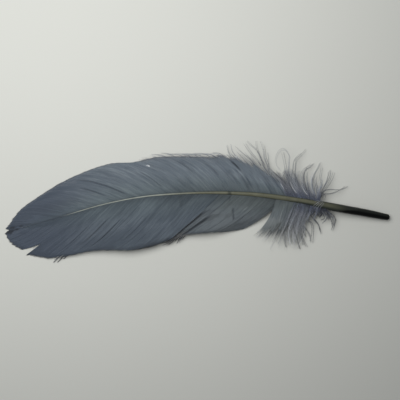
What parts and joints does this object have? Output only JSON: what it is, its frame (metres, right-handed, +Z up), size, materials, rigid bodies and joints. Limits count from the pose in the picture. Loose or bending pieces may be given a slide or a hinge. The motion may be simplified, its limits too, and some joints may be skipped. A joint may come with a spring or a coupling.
{
  "type": "goose quill feather",
  "caption": "Loose grey-blue goose quill feather lying flat, with a dark bare quill, a curved shaft, two vanes and soft down at the base.",
  "frame": {"origin": "middle of the feather's bounding box in plan, at the level of the surface it lies on", "axes": "+X from the feather's tip to its quill end, +Z up from the surface, outer side of the feather up"},
  "size_m": [0.1792, 0.0554, 0.0086],
  "materials": {
    "quill": "satin horn, near-black at the bare end, olive and then pale along the vanes",
    "vane": "matt grey-blue barbs with a faint lengthwise silk",
    "down": "soft matt fluff, darker and bluer at its roots"
  },
  "bodies": {
    "root": {"shaft": "quill", "vane_upper": "vane", "vane_lower_tip": "vane", "vane_lower_rear": "vane", "down_upper": "down", "down_lower": "down"}
  },
  "joints": []
}
